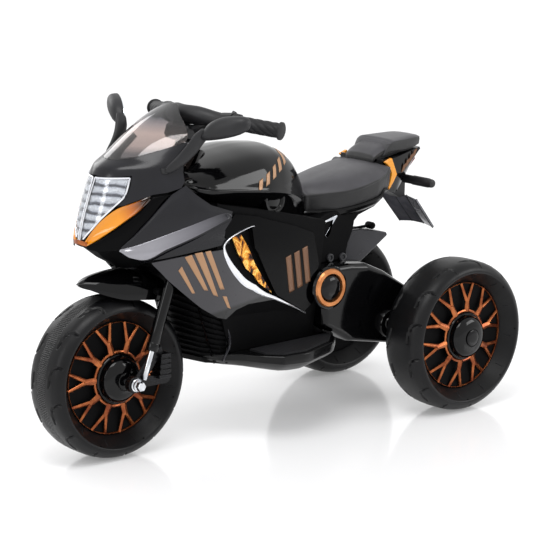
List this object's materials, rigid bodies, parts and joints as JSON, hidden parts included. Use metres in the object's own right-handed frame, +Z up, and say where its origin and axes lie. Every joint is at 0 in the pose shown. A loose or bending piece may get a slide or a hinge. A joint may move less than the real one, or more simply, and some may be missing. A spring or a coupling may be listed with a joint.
{
  "type": "kids ride-on motorcycle",
  "caption": "Three-wheeled battery ride-on motorcycle for a child, with steered fork, moulded spoked wheels, sport fairing, footboards, sprung pedal, switches and folding mirrors.",
  "frame": {"origin": "on the floor, midway between the front and rear axles on the centre plane; it is the bottom centre of the bounding box", "axes": "+X forward, +Y to the rider's left, +Z up"},
  "size_m": [1.076, 0.4932, 0.682],
  "materials": {
    "wheel_black": "matte moulded wheel",
    "spoke_copper": "metallic copper paint",
    "fork_black": "satin black",
    "axle_chrome": "polished",
    "body_black": "high gloss moulding",
    "graphite": "gloss metallic graphite",
    "matte_black": "satin moulding",
    "bar_black": "satin black",
    "grip_rubber": "ribbed matte",
    "switch_dark": "satin",
    "amber": "gloss amber",
    "lamp_silver": "clear lens over a bright reflector",
    "smoke": "smoke-tinted clear plastic",
    "mat_rubber": "ribbed matte",
    "seat_cover": "matte leathercloth",
    "lamp_red": "gloss red",
    "button_red": "satin red",
    "steel": "bright steel",
    "battery_case": "matte",
    "silencer_grey": "gloss dark grey",
    "mirror_glass": "silvered"
  },
  "bodies": {
    "chassis": {"pivot_ring_left": "spoke_copper", "pivot_ring_right": "spoke_copper", "scoop_insert_left": "spoke_copper", "scoop_insert_right": "spoke_copper", "side_fairing_left": "body_black", "side_fairing_right": "body_black", "side_panel_left": "body_black", "side_panel_right": "body_black", "nose_cowl": "body_black", "tank_cover": "body_black", "tail_cowl": "body_black", "swing_arm_left": "body_black", "swing_arm_right": "body_black", "lower_fairing_left": "graphite", "lower_fairing_right": "graphite", "main_frame": "matte_black", "headlight_housing": "matte_black", "radiator_grille": "matte_black", "floor_pan": "matte_black", "dash_panel": "matte_black", "seat_strut": "matte_black", "rear_fender": "matte_black", "rear_signal_bar": "matte_black", "amber_blade_left": "amber", "amber_blade_right": "amber", "tail_blade_left": "amber", "tail_blade_right": "amber", "headlight_lens_left": "lamp_silver", "headlight_lens_right": "lamp_silver", "windscreen": "smoke", "footboard_mat_left": "mat_rubber", "footboard_mat_right": "mat_rubber", "seat_cushion": "seat_cover", "tail_light": "lamp_red", "rear_axle": "steel", "battery": "battery_case", "silencer": "silencer_grey"},
    "steering": {"steering_stem": "fork_black", "fork_leg_left": "fork_black", "fork_leg_right": "fork_black", "handlebar": "bar_black", "grip_left": "grip_rubber", "grip_right": "grip_rubber", "front_fender": "body_black", "front_axle": "axle_chrome"},
    "front_wheel": {"front_wheel": "wheel_black", "front_spokes_left": "spoke_copper", "front_spokes_right": "spoke_copper"},
    "rear_wheel_left": {"rear_wheel_left": "wheel_black", "rear_spokes_left": "spoke_copper"},
    "rear_wheel_right": {"rear_wheel_right": "wheel_black", "rear_spokes_right": "spoke_copper"},
    "horn_button": {"horn_button": "switch_dark"},
    "power_button": {"power_button": "button_red"},
    "direction_rocker": {"direction_rocker": "switch_dark"},
    "accelerator_pedal": {"accelerator_pedal": "matte_black"},
    "mirror_left": {"mirror_left": "matte_black", "mirror_glass_left": "mirror_glass"},
    "mirror_right": {"mirror_right": "matte_black", "mirror_glass_right": "mirror_glass"}
  },
  "joints": [
    {"name": "steering_turn", "type": "hinge", "parent": "chassis", "child": "steering", "pos_m": [0.23125, 0, 0.5], "axis": [-0.342, 0, 0.9397], "range_deg": [-20, 20]},
    {"name": "front_wheel_spin", "type": "hinge", "parent": "steering", "child": "front_wheel", "pos_m": [0.378, 0, 0.16], "axis": [0, 1, 0], "continuous": true},
    {"name": "rear_wheel_left_spin", "type": "hinge", "parent": "chassis", "child": "rear_wheel_left", "pos_m": [-0.378, 0.194, 0.16], "axis": [0, 1, 0], "continuous": true},
    {"name": "rear_wheel_right_spin", "type": "hinge", "parent": "chassis", "child": "rear_wheel_right", "pos_m": [-0.378, -0.194, 0.16], "axis": [0, 1, 0], "continuous": true},
    {"name": "horn_press", "type": "slide", "parent": "steering", "child": "horn_button", "axis": [0.6429, 0, -0.7659], "range_m": [0, 0.0025], "stiffness_N_per_m": 400, "springref_m": -0.001},
    {"name": "power_press", "type": "slide", "parent": "chassis", "child": "power_button", "axis": [0, 0, -1], "range_m": [0, 0.0025], "stiffness_N_per_m": 400, "springref_m": -0.001},
    {"name": "direction_rock", "type": "hinge", "parent": "chassis", "child": "direction_rocker", "pos_m": [0.262, 0.04, 0.571], "axis": [0, 1, 0], "range_deg": [-10, 10]},
    {"name": "accelerator_press", "type": "hinge", "parent": "chassis", "child": "accelerator_pedal", "pos_m": [0, -0.135, 0.1886], "axis": [0, 1, 0], "range_deg": [0, 9], "stiffness_Nm_per_rad": 1, "springref_deg": -5.73},
    {"name": "mirror_left_fold", "type": "hinge", "parent": "chassis", "child": "mirror_left", "pos_m": [0.302, 0.088, 0.572], "axis": [0, 0, 1], "range_deg": [-25, 10]},
    {"name": "mirror_right_fold", "type": "hinge", "parent": "chassis", "child": "mirror_right", "pos_m": [0.302, -0.088, 0.572], "axis": [0, 0, 1], "range_deg": [-10, 25]}
  ]
}
